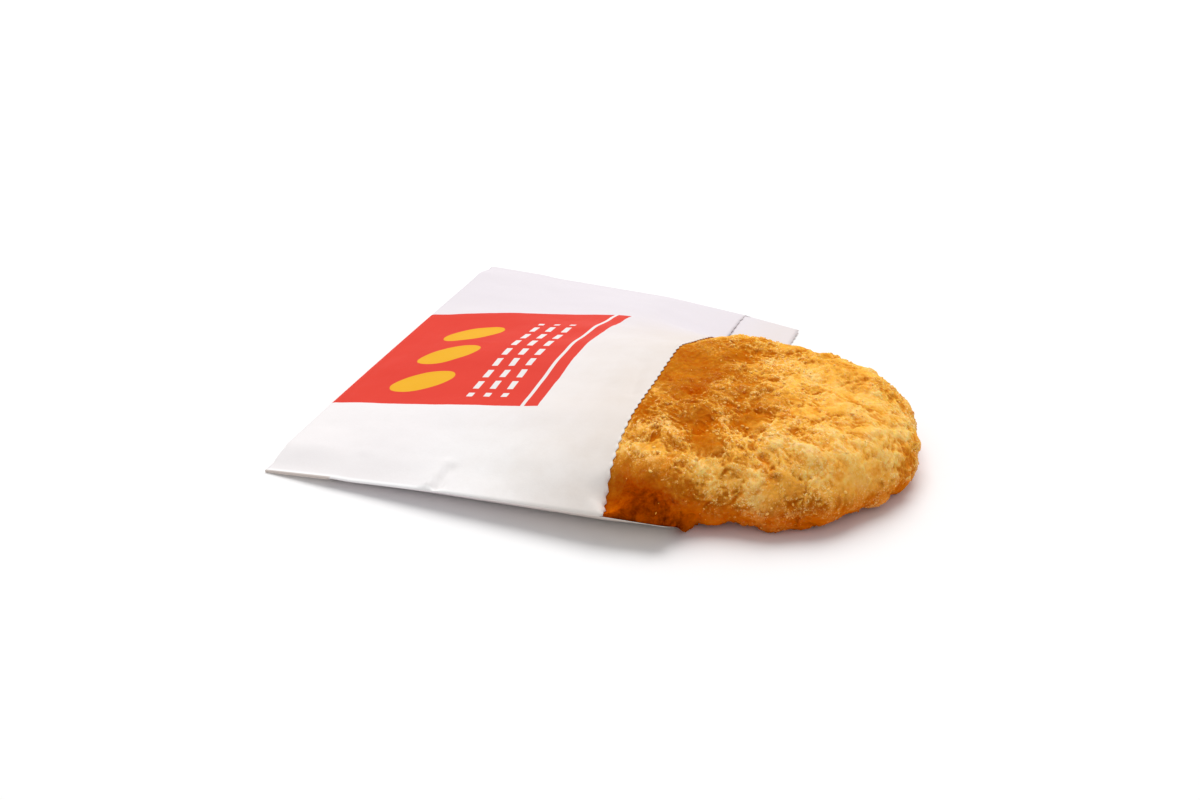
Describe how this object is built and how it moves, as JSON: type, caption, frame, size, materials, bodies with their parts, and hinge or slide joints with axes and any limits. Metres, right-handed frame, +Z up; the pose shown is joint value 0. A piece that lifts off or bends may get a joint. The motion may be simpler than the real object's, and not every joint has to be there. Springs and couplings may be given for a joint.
{
  "type": "hash brown",
  "caption": "Oval fried potato patty with a crisp craggy crust, lying half out of the open end of a flat paper sleeve whose back runs past its front as a lip.",
  "frame": {"origin": "middle of the base of the whole object's box, on the surface that the sleeve lies on", "axes": "+X from the sleeve's closed end towards the patty's free tip, +Y across the sleeve from its near side fold to its far one, +Z up"},
  "size_m": [0.1268, 0.1116, 0.0167],
  "materials": {
    "sleeve_paper": "matte white, printed with a plain red field",
    "fried_crust": "golden brown, rough and lightly oily"
  },
  "bodies": {
    "root": {"paper_sleeve": "sleeve_paper", "hash_brown": "fried_crust"}
  },
  "joints": []
}
